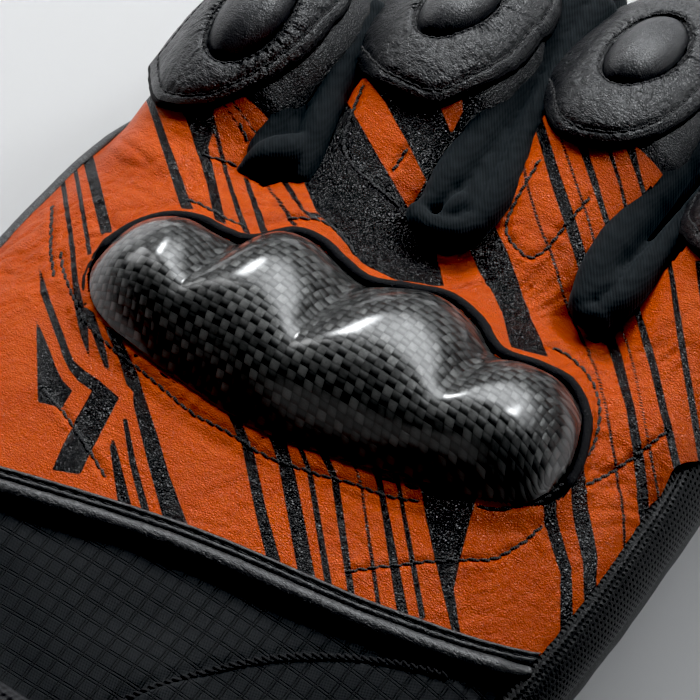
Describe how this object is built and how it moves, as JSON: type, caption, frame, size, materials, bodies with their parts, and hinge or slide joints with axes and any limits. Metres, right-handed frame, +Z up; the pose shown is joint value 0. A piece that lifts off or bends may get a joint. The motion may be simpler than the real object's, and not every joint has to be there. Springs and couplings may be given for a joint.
{
  "type": "motorcycle gauntlet",
  "caption": "Left-hand leather riding glove with striped back, hard carbon-weave knuckle guard, padded finger patches, stretch inserts between fingers, wrist strap and flared cuff.",
  "frame": {"origin": "bottom centre of the bounding box, on the surface it lies on", "axes": "+Y along the hand towards the fingertips, +X towards the thumb side, +Z up from the palm to the back of the hand"},
  "size_m": [0.166, 0.286, 0.0573],
  "materials": {
    "striped_leather": "semi-gloss, orange with black stripes",
    "carbon_weave": "clear-coated carbon weave",
    "guard_edge": "matt",
    "stretch_knit": "matt",
    "ripstop": "matt, checked weave",
    "strap_web": "matt",
    "perforated_leather": "satin, perforated",
    "pad_leather": "satin",
    "patch_leather": "satin, wrinkled",
    "piping": "satin",
    "palm_leather": "satin",
    "black_leather": "satin"
  },
  "bodies": {
    "root": {"back_panel": "striped_leather", "wrist_panel": "ripstop", "thumb_back": "black_leather", "thumb_front": "palm_leather", "index_side_band": "perforated_leather", "palm_panel": "palm_leather", "fourchette_little_ring": "stretch_knit", "fourchette_ring_middle": "stretch_knit", "fourchette_middle_index": "stretch_knit", "finger_back_little": "black_leather", "finger_front_little": "palm_leather", "finger_back_ring": "black_leather", "finger_front_ring": "palm_leather", "finger_back_middle": "black_leather", "finger_front_middle": "palm_leather", "finger_back_index": "black_leather", "finger_front_index": "palm_leather", "cuff_back": "ripstop", "cuff_palm": "palm_leather", "knuckle_patch_little": "patch_leather", "knuckle_pad_little": "pad_leather", "knuckle_patch_ring": "patch_leather", "knuckle_pad_ring": "pad_leather", "knuckle_patch_middle": "patch_leather", "knuckle_pad_middle": "pad_leather", "knuckle_patch_index": "patch_leather", "knuckle_pad_index": "pad_leather", "knuckle_guard": "carbon_weave", "guard_surround": "guard_edge", "wrist_piping": "piping", "side_piping_little": "piping", "cuff_binding": "piping", "wrist_strap": "strap_web"}
  },
  "joints": []
}
